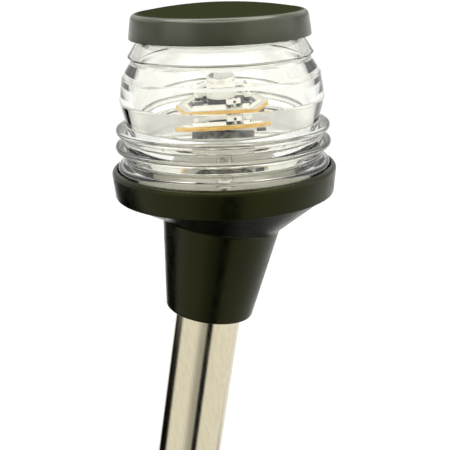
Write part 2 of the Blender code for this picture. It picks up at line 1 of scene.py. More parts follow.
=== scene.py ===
"""Looks of the all-round navigation light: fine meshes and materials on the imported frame, a pale floor,
soft studio light, and a camera in front of the globe that looks a little down on it.

The head frame is upright, with its origin on the globe's axis at the flange ring's widest section. The
pole frame starts at the plug's foot and its +Z runs up the raked pole. The board frame is the board's
underside. Profiles are (radius, height) points in millimetres.
"""

import json
import math

import bmesh
import bpy
from mathutils import Matrix, Vector


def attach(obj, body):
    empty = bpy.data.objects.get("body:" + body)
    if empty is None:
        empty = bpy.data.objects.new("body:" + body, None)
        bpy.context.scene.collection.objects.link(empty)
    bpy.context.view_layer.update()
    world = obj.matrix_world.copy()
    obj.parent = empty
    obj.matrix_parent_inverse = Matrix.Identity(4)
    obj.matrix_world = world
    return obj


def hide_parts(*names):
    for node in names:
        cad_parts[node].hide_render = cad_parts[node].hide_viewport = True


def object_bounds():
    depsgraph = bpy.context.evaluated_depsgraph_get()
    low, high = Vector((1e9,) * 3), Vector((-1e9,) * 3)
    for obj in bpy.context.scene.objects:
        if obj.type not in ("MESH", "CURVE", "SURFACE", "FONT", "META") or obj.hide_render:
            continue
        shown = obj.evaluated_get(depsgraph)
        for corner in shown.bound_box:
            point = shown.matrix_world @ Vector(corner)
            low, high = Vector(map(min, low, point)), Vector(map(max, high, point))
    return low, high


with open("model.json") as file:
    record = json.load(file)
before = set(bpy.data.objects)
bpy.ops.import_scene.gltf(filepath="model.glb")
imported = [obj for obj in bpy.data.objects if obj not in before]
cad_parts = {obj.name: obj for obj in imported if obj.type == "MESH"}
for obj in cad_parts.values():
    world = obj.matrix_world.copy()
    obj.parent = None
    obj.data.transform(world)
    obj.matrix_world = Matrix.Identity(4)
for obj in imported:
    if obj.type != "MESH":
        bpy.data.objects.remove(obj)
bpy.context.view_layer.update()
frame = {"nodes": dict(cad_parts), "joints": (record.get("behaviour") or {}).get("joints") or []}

MM = 0.001
JOINTS = {joint["name"]: joint for joint in frame["joints"]}
HEAD = Matrix.Translation(Vector(JOINTS["globe_turn"]["pos_m"]))
POLE_AXIS = Vector(JOINTS["collar_turn"]["axis"])
RAKE = math.atan2(POLE_AXIS.x, POLE_AXIS.z)
POLE = Matrix.Rotation(RAKE, 4, "Y")
AXES_MEET_BELOW = 9.3  # the pole's axis crosses the globe's this far below the head frame's origin

# Flange ring and its bayonet
RING_RADIUS = 37.06
RING_FOOT_RADIUS = 36.3
RING_FOOT = -7.7
RING_FOOT_ROUND = 0.5
RING_ROUND = 1.6
RING_INNER = RING_RADIUS - RING_ROUND
RING_FLOOR = -5.6
RING_FLOOR_INNER = 19.0
TABS = 3
TAB_CENTRE = -75.0  # degrees round the ring to the middle of the front tab
TAB_HALF = 20.0
TAB_INNER = 33.9
TAB_FROM = -2.0
TAB_TO = -1.2
INDEX_AT = -102.7  # degrees round to the small mark on the globe's foot
INDEX_RADIUS = 33.9
INDEX_WIDE = 2.4
INDEX_DEEP = 1.0
INDEX_FROM = 3.35
INDEX_TO = 3.55

# Neck
NECK_TOP = -8.0
NECK_TOP_RADIUS = 34.8
NECK_BEND_RADIUS = 19.9
NECK_BEND_BELOW = 8.5
NECK_FOOT_RADIUS = 14.84
NECK_FOOT_BELOW = 41.2
NECK_FOOT_ROUND = 1.3
NECK_FLOOR_BELOW = 8.0
NECK_PASSAGE_RADIUS = 6.5
NECK_SCREW_AT = 164.0
SOCKET_RADIUS = 11.41
SOCKET_CHAMFER = 0.5

# Cap
CAP_RADIUS = 29.3
CAP_TOP_RADIUS = 28.5
CAP_ROUND = 1.9
CAP_ROUND_FROM = 49.4
CAP_FOOT = 43.4
CAP_FOOT_ROUND = 0.3
CAP_WALL = 2.2
CAP_ROOF = 45.9
CAP_TOP = 53.8
LINER_RADIUS = 26.4
LINER_FROM = 44.45
LINER_TO = 44.65

# Pole, plug and collar
TUBE_RADIUS = 11.11
TUBE_BORE = 10.01
TUBE_FROM = 24.8
TUBE_TO = 185.4
PLUG_RADIUS = 10.2
PLUG_SHOULDER_RADIUS = 12.6
PLUG_SHOULDER_FROM = 22.0
PLUG_SHOULDER_TO = 24.5
PLUG_SPIGOT_RADIUS = 9.6
PLUG_TOP = 38.0
PLUG_GROOVE_RADIUS = 8.8
PLUG_GROOVE_FROM = 12.8
PLUG_GROOVE_TO = 15.2
CONTACT_SPREAD = 4.0
COLLAR_BORE = 11.51
COLLAR_RADIUS = 16.6
COLLAR_SKIRT_BORE = 13.4
COLLAR_FROM = 8.0
COLLAR_STEP = 26.3
COLLAR_SHOULDER = 28.0
COLLAR_TO = 33.0
COLLAR_FLUTES = 12
FLUTE_DEPTH = 0.9

# Light engine
DECK_RADIUS = 29.6
DECK_BORE = 5.0
DECK_FROM = -5.3
DECK_TO = -3.3
DECK_ROUND = 0.6
SCREW_CIRCLE = 23.0
SCREW_TIP = -12.0
POST_RADIUS = 9.0
POST_TOP = 15.4
POST_FOOT = -3.0
BOARD_FROM = 18.35
BOARD_THICK = 1.5
BOARD_TILT = math.radians(-2.0)  # the board sits a little askew on the post
BOARD_TURN = math.radians(-3.0)
BOARD_TIP = 15.6
BOARD_SHOULDER = 11.0
BOARD = (
    HEAD
    @ Matrix.Translation((0.0, 0.0, BOARD_FROM * MM))
    @ Matrix.Rotation(BOARD_TURN, 4, "Z")
    @ Matrix.Rotation(BOARD_TILT, 4, "Y")
)
SEAT = BOARD_THICK + 0.06  # top of the copper, above the board's underside
CHIP_PLACES = (  # x, y and turn in degrees, as for the LEDs
    (-9.8, -2.8, 75.0),
    (-5.6, 0.6, 10.0),
    (6.9, -3.4, 40.0),
    (8.9, -4.9, 100.0),
    (-0.6, -6.3, 5.0),
)
RIM_TIP = 12.9
RIM_CORNER = 9.4
RIM_SHOULDER = 9.2
RIM_WALL = 0.8
RIM_GAP = (1.6, 7.0)  # x where the rim's front side is open
RIM_HIGH = 0.35
RIM_BAR_HIGH = 1.25
LED_SIZE = (4.4, 2.0, 1.6)
LED_LIFT = 1.1  # the package stands on its solder feet
LED_PLACES = ((4.1, -7.4, 20.0), (8.2, 2.2, 100.0), (-2.4, 6.9, 186.0), (-7.4, 4.2, 232.0))
WINDOW_AT = (0.1, -0.1)
CAPACITOR_RADIUS = 4.9
CAPACITOR_FROM = 3.4
CAPACITOR_SPLIT = 6.0  # top of the sleeve
CAPACITOR_TO = 8.0

ROUND = 160  # segments round a large turned piece
FINE_ROUND = 192
MIDDLE_ROUND = 96
SMALL_ROUND = 48


# Outlines


def arc(r, z, radius, start, end, steps):
    """Points on an arc about (r, z), by angle in degrees from the +r direction."""
    turns = [math.radians(start + (end - start) * i / steps) for i in range(steps + 1)]
    return [(r + radius * math.cos(a), z + radius * math.sin(a)) for a in turns]


# Pieces


def join_columns(shape, columns):
    """Faces between each column of vertices and the next, all the way round."""
    for one, two in zip(columns, columns[1:] + columns[:1]):
        for i in range(len(one)):
            j = (i + 1) % len(one)
            shape.faces.new((one[i], one[j], two[j], two[i]))


def spun(section, segments=ROUND):
    """A bmesh spun round +Z. section gives the closed outline of (radius, height) points at an angle."""
    shape = bmesh.new()
    columns = []
    for i in range(segments):
        angle = 2 * math.pi * i / segments
        points = [(r * math.cos(angle) * MM, r * math.sin(angle) * MM, z * MM) for r, z in section(angle)]
        columns.append([shape.verts.new(point) for point in points])
    join_columns(shape, columns)
    bmesh.ops.remove_doubles(shape, verts=shape.verts, dist=1e-8)
    loose = [vert for vert in shape.verts if not vert.link_faces]
    bmesh.ops.delete(shape, geom=loose, context="VERTS")
    return shape


def turned(profile, segments=ROUND):
    """A bmesh of one outline spun round +Z."""
    return spun(lambda _: profile, segments)


def block(outline, low, high, bevel=0.0, bevel_steps=2):
    """A bmesh of an outline of (x, y) points in millimetres, raised from low to high."""
    shape = bmesh.new()
    face = shape.faces.new([shape.verts.new((x * MM, y * MM, low * MM)) for x, y in outline])
    grown = bmesh.ops.extrude_face_region(shape, geom=[face])
    raised = [item for item in grown["geom"] if isinstance(item, bmesh.types.BMVert)]
    bmesh.ops.translate(shape, verts=raised, vec=(0.0, 0.0, (high - low) * MM))
    if bevel:
        bmesh.ops.bevel(
            shape, geom=shape.edges[:], offset=bevel * MM, segments=bevel_steps, profile=0.5, affect="EDGES"
        )
    return shape


def rectangle(wide, deep, cx=0.0, cy=0.0, turn=0.0):
    """Corners of a rectangle about (cx, cy), turned by degrees about its centre."""
    angle = math.radians(turn)
    flat = [(sx * wide / 2, sy * deep / 2) for sx, sy in ((-1, -1), (1, -1), (1, 1), (-1, 1))]
    return [
        (cx + x * math.cos(angle) - y * math.sin(angle), cy + x * math.sin(angle) + y * math.cos(angle))
        for x, y in flat
    ]


def disc(radius, cx=0.0, cy=0.0, sides=24, squash=1.0):
    """Points round a circle about (cx, cy), or an ellipse where it is squashed."""
    turns = [2 * math.pi * i / sides for i in range(sides)]
    return [(cx + radius * math.cos(a), cy + squash * radius * math.sin(a)) for a in turns]


def piece(name, shape, where, body, look, stands_for=(), sharp=35.0):
    """Makes a piece of the bmesh, placed by a matrix, that rides on a body and may stand for CAD nodes."""
    shape.transform(where)
    bmesh.ops.recalc_face_normals(shape, faces=shape.faces)
    mesh = bpy.data.meshes.new(name)
    shape.to_mesh(mesh)
    shape.free()
    mesh.shade_smooth()
    mesh.set_sharp_from_angle(angle=math.radians(sharp))
    mesh.materials.append(look)
    made = bpy.data.objects.new(name, mesh)
    bpy.context.scene.collection.objects.link(made)
    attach(made, body)
    if stands_for:
        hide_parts(*stands_for)
    return made


def cut(target, shape, where):
    """Cuts a shape out of a piece, with a helper that isn't rendered."""
    shape.transform(where)
    bmesh.ops.recalc_face_normals(shape, faces=shape.faces)
    mesh = bpy.data.meshes.new("cutter")
    shape.to_mesh(mesh)
    shape.free()
    helper = bpy.data.objects.new("cutter", mesh)
    bpy.context.scene.collection.objects.link(helper)
    modifier = target.modifiers.new("cut", "BOOLEAN")
    modifier.operation = "DIFFERENCE"
    modifier.object = helper
    bpy.context.view_layer.update()
    graph = bpy.context.evaluated_depsgraph_get()
    result = bpy.data.meshes.new_from_object(target.evaluated_get(graph), depsgraph=graph)
    target.modifiers.remove(modifier)
    target.data = result
    bpy.data.objects.remove(helper)


# Materials

OLIVE = (0.9, 0.95, 0.36)  # tint of the black plastic's reflections
CAP_TINT = (0.95, 0.99, 0.85)
CAP_SHINE = 0.55
# Extra shine on the cap's rounded rim: a painted highlight.
CAP_RIM_PAINTED_SHINE = 0.85
# Painted glow: pale pieces inside the globe get a little emission that stands in for light coming through the
# clear globe.
PAINTED_GLOW_COLOR = (1.0, 0.97, 0.9)
INNER_PAINTED_GLOW = {"silk": 0.2, "package": 0.35, "rim": 0.35, "sleeve": 0.25}
# Painted glow on the board's laminate, standing in for light through the clear globe.
BOARD_PAINTED_GLOW = 0.25
FLOOR_TONES = ((0.46, 0.465, 0.485), (0.48, 0.485, 0.505))


def plain(name, color, roughness, metallic=0.0):
    """A Principled material and its node tree and shader."""
    made = bpy.data.materials.new(name)
    made.use_nodes = True
    tree = made.node_tree
    shader = tree.nodes["Principled BSDF"]
    shader.inputs["Base Color"].default_value = (*color, 1.0)
    shader.inputs["Roughness"].default_value = roughness
    shader.inputs["Metallic"].default_value = metallic
    return made, tree, shader


def noise(tree, scale, detail=3.0, stretch=(1.0, 1.0, 1.0), tilt=0.0):
    """Noise in the frame's own coordinates, with scale in features per metre."""
    place = tree.nodes.new("ShaderNodeTexCoord")
    mapping = tree.nodes.new("ShaderNodeMapping")
    mapping.vector_type = "TEXTURE"
    mapping.inputs["Rotation"].default_value = (0.0, tilt, 0.0)
    mapping.inputs["Scale"].default_value = stretch
    texture = tree.nodes.new("ShaderNodeTexNoise")
    texture.inputs["Scale"].default_value = scale
    texture.inputs["Detail"].default_value = detail
    tree.links.new(place.outputs["Object"], mapping.inputs["Vector"])
    tree.links.new(mapping.outputs["Vector"], texture.inputs["Vector"])
    return texture.outputs["Fac"]


def remap(tree, value, low, high, to_low, to_high):
    """Eases from to_low to to_high as the value goes from low to high."""
    node = tree.nodes.new("ShaderNodeMapRange")
    node.interpolation_type = "SMOOTHSTEP"
    for socket, number in zip(("From Min", "From Max", "To Min", "To Max"), (low, high, to_low, to_high)):
        node.inputs[socket].default_value = number
    tree.links.new(value, node.inputs["Value"])
    return node.outputs["Result"]


def facing(tree):
    """How far the surface faces along its object's Z: -1 to 1."""
    place = tree.nodes.new("ShaderNodeTexCoord")
    split = tree.nodes.new("ShaderNodeSeparateXYZ")
    tree.links.new(place.outputs["Normal"], split.inputs["Vector"])
    return split.outputs["Z"]


def mix_colors(tree, share, first, second):
    """A colour between two; each is a colour or a socket."""
    node = tree.nodes.new("ShaderNodeMix")
    node.data_type = "RGBA"
    tree.links.new(share, node.inputs["Factor"])
    for socket, color in ((node.inputs["A"], first), (node.inputs["B"], second)):
        if isinstance(color, tuple):
            socket.default_value = (*color, 1.0)
        else:
            tree.links.new(color, socket)
    return node.outputs["Result"]


def calculate(tree, operation, first, second=None, third=None):
    """A Math node; each operand is a number or a socket."""
    node = tree.nodes.new("ShaderNodeMath")
    node.operation = operation
    for socket, value in zip(node.inputs, (first, second, third)):
        if isinstance(value, (int, float)):
            socket.default_value = value
        elif value is not None:
            tree.links.new(value, socket)
    return node.outputs["Value"]


def add_bump(tree, shader, height, distance, strength=1.0):
    """Adds a height to the surface, on top of any bump that is there."""
    node = tree.nodes.new("ShaderNodeBump")
    node.inputs["Strength"].default_value = strength
    node.inputs["Distance"].default_value = distance
    tree.links.new(height, node.inputs["Height"])
    normal = shader.inputs["Normal"]
    if normal.is_linked:
        tree.links.new(normal.links[0].from_socket, node.inputs["Normal"])
    tree.links.new(node.outputs["Normal"], normal)


def paint_glow(shader, strength):
    """Stands in for the light that the clear globe lets through to pale pieces inside it."""
    shader.inputs["Emission Color"].default_value = (*PAINTED_GLOW_COLOR, 1.0)
    shader.inputs["Emission Strength"].default_value = strength


def moulded_plastic(name, dark, light, roughness, grain=0.000006, shine=0.5, tint=(1.0, 1.0, 1.0)):
    """Moulded plastic: soft colour drift, fine spark-eroded grain and a faint waviness."""
    made, tree, shader = plain(name, dark, roughness)
    shader.inputs["Specular IOR Level"].default_value = shine
    shader.inputs["Specular Tint"].default_value = (*tint, 1.0)
    drift = noise(tree, 60.0, 4.0)
    tree.links.new(
        mix_colors(tree, remap(tree, drift, 0.35, 0.7, 0.0, 1.0), dark, light), shader.inputs["Base Color"]
    )
    fine = noise(tree, 4200.0, 2.0)
    rub = remap(tree, noise(tree, 240.0, 3.0), 0.3, 0.75, roughness - 0.05, roughness + 0.07)
    tree.links.new(rub, shader.inputs["Roughness"])
    add_bump(tree, shader, fine, grain)
    add_bump(tree, shader, noise(tree, 90.0, 1.0), 0.00004, 0.5)
    return made


def cap_plastic():
    """The cap's olive black: satin on its side, with light painted in by which way the surface faces: a
    shinier rounded rim as a painted highlight, and an even, dead matt top as painted shade.
    """
    made = moulded_plastic("cap_plastic", (0.017, 0.0195, 0.008), (0.022, 0.0255, 0.01), 0.24, tint=CAP_TINT)
    tree = made.node_tree
    shader = tree.nodes["Principled BSDF"]
    upward = facing(tree)
    # Painted shade: where the surface faces straight up, the top takes an even colour of its own and loses
    # its shine, so it stays dark.
    top = remap(tree, upward, 0.95, 0.985, 0.0, 1.0)
    side_color = shader.inputs["Base Color"].links[0].from_socket
    tree.links.new(mix_colors(tree, top, side_color, (0.02, 0.0235, 0.0105)), shader.inputs["Base Color"])
    # Painted highlight: the rounded rim, where the surface faces partly up, gets more shine than the side.
    rim = remap(tree, upward, 0.2, 0.6, CAP_SHINE, CAP_RIM_PAINTED_SHINE)
    painted_matt_top = calculate(tree, "SUBTRACT", 1.0, top)
    tree.links.new(calculate(tree, "MULTIPLY", rim, painted_matt_top), shader.inputs["Specular IOR Level"])
    return made


def clear_plastic():
    """Clear polycarbonate: polished, with faint flow lines and a few fine rubs."""
    made, tree, shader = plain("clear_polycarbonate", (0.966, 0.968, 0.925), 0.02)
    shader.inputs["Transmission Weight"].default_value = 1.0
    shader.inputs["IOR"].default_value = 1.585
    rub = noise(tree, 900.0, 4.0, (1.0, 1.0, 4.0))
    tree.links.new(remap(tree, rub, 0.55, 0.8, 0.015, 0.09), shader.inputs["Roughness"])
    add_bump(tree, shader, noise(tree, 45.0, 2.0), 0.00008, 0.6)
    return made


def drawn_steel(name, color, roughness, streak, tilt=0.0):
    """Polished steel tube: fine streaks along its length and slightly uneven polish."""
    made, tree, shader = plain(name, color, roughness, 1.0)
    lines = noise(tree, 1400.0, 4.0, (1.0, 1.0, 60.0), tilt)
    cloud = noise(tree, 70.0, 3.0)
    darker = tuple(channel * 0.9 for channel in color)
    streaks = remap(tree, lines, 0.3, 0.7, 0.0, 1.0)
    tree.links.new(mix_colors(tree, streaks, darker, color), shader.inputs["Base Color"])
    polish = calculate(tree, "MULTIPLY_ADD", cloud, 0.08, roughness - 0.04)
    tree.links.new(calculate(tree, "MULTIPLY_ADD", lines, 0.08, polish), shader.inputs["Roughness"])
    add_bump(tree, shader, lines, streak)
    return made


def rubber():
    """Matt black rubber with a faint bloom."""
    made, tree, shader = plain("seal_rubber", (0.016, 0.016, 0.015), 0.75)
    cloud = noise(tree, 300.0, 3.0)
    tree.links.new(
        mix_colors(tree, cloud, (0.011, 0.011, 0.01), (0.028, 0.028, 0.026)), shader.inputs["Base Color"]
    )
    tree.links.new(remap(tree, cloud, 0.3, 0.7, 0.65, 0.85), shader.inputs["Roughness"])
    add_bump(tree, shader, noise(tree, 2600.0), 0.00001)
    return made


def laminate():
    """Circuit board: pale mask on its faces, layered amber laminate on its edges, both with a painted glow
    that stands in for light through the globe.
    """
    made, tree, shader = plain("board_laminate", (0.7, 0.46, 0.14), 0.45)
    flat = remap(tree, calculate(tree, "ABSOLUTE", facing(tree)), 0.5, 0.8, 0.0, 1.0)
    layers = noise(tree, 2200.0, 2.0, (12.0, 12.0, 1.0))
    plies = remap(tree, layers, 0.35, 0.65, 0.0, 1.0)
    edge = mix_colors(tree, plies, (0.66, 0.36, 0.04), (0.9, 0.58, 0.14))
    weave = remap(tree, noise(tree, 900.0, 2.0), 0.3, 0.7, 0.0, 1.0)
    mask = mix_colors(tree, weave, (0.78, 0.76, 0.68), (0.88, 0.87, 0.8))
    color = mix_colors(tree, flat, edge, mask)
    tree.links.new(color, shader.inputs["Base Color"])
    # Painted glow: the board's own colour is also its emission.
    tree.links.new(color, shader.inputs["Emission Color"])
    shader.inputs["Emission Strength"].default_value = BOARD_PAINTED_GLOW
    add_bump(tree, shader, layers, 0.00002)
    return made


def printed(name, dark, light, roughness, metallic=0.0):
    """Flat printed or plated surface with a mottled tone."""
    made, tree, shader = plain(name, light, roughness, metallic)
    mottle = noise(tree, 700.0, 4.0)
    tree.links.new(
        mix_colors(tree, remap(tree, mottle, 0.3, 0.7, 0.0, 1.0), dark, light), shader.inputs["Base Color"]
    )
    worn = remap(tree, mottle, 0.3, 0.7, roughness - 0.06, roughness + 0.08)
    tree.links.new(worn, shader.inputs["Roughness"])
    add_bump(tree, shader, mottle, 0.00002, 0.6)
    return made


def make_looks():
    """Every material by its short name."""
    looks = {
        "black": moulded_plastic(
            "black_plastic", (0.0011, 0.0013, 0.0004), (0.0022, 0.0026, 0.0008), 0.27, shine=0.25, tint=OLIVE
        ),
        "cap": cap_plastic(),
        "collar": moulded_plastic(
            "collar_plastic", (0.008, 0.008, 0.007), (0.015, 0.015, 0.012), 0.45, grain=0.00001
        ),
        "clear": clear_plastic(),
        "rubber": rubber(),
        "tube": drawn_steel("stainless_tube", (0.72, 0.665, 0.5), 0.12, 0.000002, -RAKE),
        "screw": printed("screw_steel", (0.5, 0.48, 0.44), (0.68, 0.66, 0.6), 0.3, 1.0),
        "post": drawn_steel("polished_sleeve", (0.95, 0.93, 0.88), 0.05, 0.0000005),
        "crown": printed("spring_steel", (0.03, 0.03, 0.026), (0.16, 0.16, 0.14), 0.32, 1.0),
        "deck": moulded_plastic("deck_plastic", (0.56, 0.54, 0.46), (0.64, 0.62, 0.54), 0.45),
        "laminate": laminate(),
        "copper": printed("masked_copper", (0.1, 0.115, 0.125), (0.19, 0.21, 0.22), 0.38, 0.2),
        "silk": printed("white_print", (0.82, 0.82, 0.78), (0.94, 0.94, 0.9), 0.5),
        "solder": printed("solder", (0.55, 0.55, 0.53), (0.75, 0.75, 0.72), 0.28, 1.0),
        "package": printed("led_package", (0.84, 0.82, 0.75), (0.93, 0.92, 0.87), 0.35),
        "window": printed("led_window", (0.03, 0.028, 0.015), (0.07, 0.06, 0.03), 0.3),
        "chip": printed("chip_epoxy", (0.02, 0.02, 0.02), (0.045, 0.045, 0.042), 0.5),
        "rim": printed("rim_plastic", (0.84, 0.83, 0.78), (0.93, 0.92, 0.88), 0.4),
        "sleeve": printed("capacitor_sleeve", (0.8, 0.79, 0.71), (0.9, 0.89, 0.82), 0.4),
        "can": printed("capacitor_can", (0.72, 0.71, 0.66), (0.86, 0.85, 0.8), 0.3, 0.9),
        "brass": printed("brass", (0.62, 0.45, 0.2), (0.8, 0.62, 0.3), 0.28, 1.0),
        "red": printed("red_insulation", (0.36, 0.02, 0.015), (0.55, 0.04, 0.03), 0.45),
        "wire_black": printed("black_insulation", (0.012, 0.012, 0.012), (0.03, 0.03, 0.028), 0.45),
    }
    # Painted glow on the pale pieces inside the globe, standing in for light through the clear globe.
    for name, strength in INNER_PAINTED_GLOW.items():
        paint_glow(looks[name].node_tree.nodes["Principled BSDF"], strength)
    return looks


# Globe and cap


def globe_outline():
    """Down the outside from the top's centre, then up the inside from the skirt's foot."""
    top = [(0.0, 44.4)] + arc(26.2, 44.0, 0.4, 90.0, 0.0, 3) + [(26.75, 43.0)]
    ridge = arc(29.66, 38.0, 0.24, 40.0, -50.0, 12) + [(29.1, 37.2), (29.15, 36.6)]
    facets = [(29.4, 35.8), (32.05, 31.8), (32.12, 31.6), (33.28, 24.15), (33.28, 23.85), (31.6, 16.6)]
    shoulder = arc(31.85, 16.45, 0.25, 165.0, 250.0, 12)
    upper_rib = arc(33.85, 14.4, 1.2, 75.0, -75.0, 24)
    upper_groove = arc(33.3, 11.7, 0.7, 115.0, 245.0, 20)
    lower_rib = arc(34.2, 9.0, 1.2, 75.0, -75.0, 24)
    lower_groove = arc(33.0, 5.4, 0.7, 115.0, 240.0, 20)
    flange = arc(33.35, 1.9, 1.6, 80.0, 0.0, 14) + arc(34.55, -0.2, 0.4, 0.0, -90.0, 12)
    skirt = [(33.5, -0.6), (33.5, -4.3), (32.9, -4.3), (32.9, -3.7), (31.2, -3.7), (31.2, -4.3), (30.4, -4.3)]
    inside = [(29.6, 17.0), (29.2, 30.0), (26.8, 36.6)]
    ceiling = arc(22.0, 39.7, 2.5, 40.0, 90.0, 10) + [(0.0, 42.2)]
    outside = top + ridge + facets + shoulder + upper_rib + upper_groove + lower_rib + lower_groove
    return outside + flange + skirt + inside + ceiling


def make_globe(looks):
    """Only faces that meet at a few degrees are smoothed, so that the facets keep flat sides."""
    shape = turned(globe_outline(), FINE_ROUND)
    piece("globe", shape, HEAD, "globe", looks["clear"], ["globe_lens"], sharp=8.0)


def cap_outline():
    """Under the cap from its roof's centre, then up its drafted side and over its low dome."""
    flat = CAP_TOP_RADIUS - CAP_ROUND
    rise = CAP_TOP - CAP_ROUND_FROM - CAP_ROUND
    steps = 12
    rim = arc(flat, CAP_ROUND_FROM, CAP_ROUND, 4.0, 82.0, steps)
    shares = [1 - k / steps for k in range(1, steps)]
    dome = [(flat * share, CAP_TOP - rise * share**2) for share in shares]
    inner = CAP_RADIUS - CAP_WALL
    foot_from = CAP_FOOT + CAP_FOOT_ROUND
    under = [(0.0, CAP_ROOF), (inner, CAP_ROOF), (inner, foot_from)]
    foot = arc(CAP_RADIUS - CAP_FOOT_ROUND, foot_from, CAP_FOOT_ROUND, -90.0, 0.0, 3)
    return under + foot + rim + dome + [(0.0, CAP_TOP)]


def make_cap(looks):
    """The cap, and the white disc between it and the globe's top."""
    piece("cap", turned(cap_outline()), HEAD, "globe", looks["cap"], ["top_cap"])
    liner = [(0.0, LINER_FROM), (LINER_RADIUS, LINER_FROM), (LINER_RADIUS, LINER_TO), (0.0, LINER_TO)]
    piece("cap_liner", turned(liner), HEAD, "globe", looks["rim"])


# Flange ring and neck


def make_ring(looks):
    """The ring with its rolled foot and rounded rim, and the bayonet tabs inside it."""
    rim = arc(RING_INNER, 0.0, RING_ROUND, 0.0, 90.0, 12)
    corner = RING_FOOT_RADIUS - RING_FOOT_ROUND
    foot = [(RING_FLOOR_INNER, RING_FOOT)]
    foot += arc(corner, RING_FOOT + RING_FOOT_ROUND, RING_FOOT_ROUND, -90.0, 0.0, 5)
    inside = [(RING_INNER, RING_FLOOR), (RING_FLOOR_INNER, RING_FLOOR)]
    shape = turned(foot + rim + inside)
    piece("ring", shape, HEAD, "housing", looks["black"], ["flange_ring"], sharp=40.0)
    for i in range(TABS):
        centre = TAB_CENTRE + i * 360.0 / TABS
        outer = arc(0.0, 0.0, RING_INNER + 0.3, centre - TAB_HALF, centre + TAB_HALF, 16)
        inner = arc(0.0, 0.0, TAB_INNER, centre + TAB_HALF, centre - TAB_HALF, 16)
        tab = block(outer + inner, TAB_FROM, TAB_TO, 0.1, 1)
        piece(f"ring_tab_{i + 1}", tab, HEAD, "housing", looks["black"])


def make_index(looks):
    """Small moulded mark on top of the globe's foot flange, a little past the end of the front tab."""
    shape = block(rectangle(INDEX_WIDE, INDEX_DEEP), INDEX_FROM, INDEX_TO, 0.08, 1)
    out = Matrix.Rotation(math.radians(INDEX_AT), 4, "Z") @ Matrix.Translation((INDEX_RADIUS * MM, 0.0, 0.0))
    where = HEAD @ out @ Matrix.Rotation(math.pi / 2, 4, "Z")
    piece("index_mark", shape, where, "globe", looks["black"])


def neck_radius(below):
    """Radius of the tapered socket at a distance down the pole from where the axes meet."""
    share = (below - NECK_BEND_BELOW) / (NECK_FOOT_BELOW - NECK_BEND_BELOW)
    return NECK_BEND_RADIUS + (NECK_FOOT_RADIUS - NECK_BEND_RADIUS) * share


def neck_point(radius, height, angle, square_to_pole):
    """A point of the neck's loft, square to the globe's axis or to the pole's."""
    point = Vector((radius * math.cos(angle), radius * math.sin(angle), height))
    if square_to_pole:
        pivot = Vector((0.0, 0.0, -AXES_MEET_BELOW))
        point = pivot + Matrix.Rotation(RAKE, 3, "Y") @ (point - pivot)
    return point


def neck_column(angle):
    """The neck's outline at one angle: flare, filleted bend, tapered socket, rounded foot, and bore."""
    bend = -AXES_MEET_BELOW
    top = neck_point(NECK_TOP_RADIUS, NECK_TOP, angle, False)
    turn = neck_point(NECK_BEND_RADIUS, bend - NECK_BEND_BELOW, angle, True)
    round_from = NECK_FOOT_BELOW - NECK_FOOT_ROUND
    corner_radius = neck_radius(round_from) - NECK_FOOT_ROUND
    corner = arc(corner_radius, bend - round_from, NECK_FOOT_ROUND, 0.0, -90.0, 8)
    start = turn.lerp(top, 0.05)
    end = turn.lerp(neck_point(*corner[0], angle, True), 0.03)
    shares = [i / 6 for i in range(7)]
    fillet = [start.lerp(turn, share).lerp(turn.lerp(end, share), share) for share in shares]
    foot, floor = bend - NECK_FOOT_BELOW, bend - NECK_FLOOR_BELOW
    bore = [(SOCKET_RADIUS + SOCKET_CHAMFER, foot), (SOCKET_RADIUS, foot + SOCKET_CHAMFER)]
    bore += [(SOCKET_RADIUS, floor), (NECK_PASSAGE_RADIUS, floor)]
    socket = [neck_point(r, z, angle, True) for r, z in corner + bore]
    return [top] + fillet + socket + [neck_point(NECK_PASSAGE_RADIUS, NECK_TOP, angle, False)]


def make_neck(looks):
    """The neck, lofted column by column, because its top is square to the globe and the rest to the pole."""
    shape = bmesh.new()
    columns = []
    for i in range(ROUND):
        column = neck_column(2 * math.pi * i / ROUND)
        columns.append([shape.verts.new(point * MM) for point in column])
    join_columns(shape, columns)
    piece("neck", shape, HEAD, "housing", looks["black"], ["neck_socket"])


# Light engine


def make_deck(looks):
    """Pale floor with a rounded edge."""
    edge = arc(DECK_RADIUS - DECK_ROUND, DECK_TO - DECK_ROUND, DECK_ROUND, 0.0, 90.0, 6)
    profile = [(DECK_BORE, DECK_FROM), (DECK_RADIUS, DECK_FROM)] + edge + [(DECK_BORE, DECK_TO)]
    shape = turned(profile, MIDDLE_ROUND)
    piece("deck", shape, HEAD, "housing", looks["deck"], ["deck_plate"])


def make_post(looks):
    """Polished sleeve with a rolled foot."""
    foot = arc(POST_RADIUS + 2.1, POST_FOOT + 0.4, 0.4, -90.0, 90.0, 6)
    fillet = arc(POST_RADIUS + 1.2, POST_FOOT + 2.0, 1.2, -90.0, -180.0, 6)
    lip = arc(POST_RADIUS - 0.5, POST_TOP - 0.5, 0.5, 0.0, 180.0, 6)
    profile = foot + fillet + [(POST_RADIUS, POST_TOP - 0.2)] + lip + [(POST_RADIUS - 1.0, POST_FOOT)]
    shape = turned(profile, MIDDLE_ROUND)
    piece("post", shape, HEAD, "housing", looks["post"], ["led_post"])


def make_crown(looks):
    """Dark spring crown: its lower edge is a row of arches round the top of the post."""
    inner, outer, hole = POST_RADIUS + 0.3, POST_RADIUS + 1.1, 6.6
    high = BOARD_FROM - 0.8
    low, roof = high - 4.6, high - 0.9
    arches, arch_high = 8, 1.9

    def section(angle):
        edge = low + arch_high * abs(math.sin(arches / 2 * angle)) ** 0.7
        return [(outer, edge), (outer, high), (hole, high), (hole, roof), (inner, roof), (inner, edge)]

    piece("crown", spun(section, 128), HEAD, "housing", looks["crown"], ["post_crown"])


def hexagon(tip, corner, shoulder):
    """A long hexagon with its tips on the x axis and corners at (corner, shoulder)."""
    front = [(-tip, 0), (-corner, -shoulder), (corner, -shoulder)]
    return front + [(-x, -y) for x, y in front]


def on_board(name, shape, look, stands_for=(), where=BOARD):
    """A piece in the board frame, or in a frame on the board."""
    return piece(name, shape, where, "housing", look, stands_for)


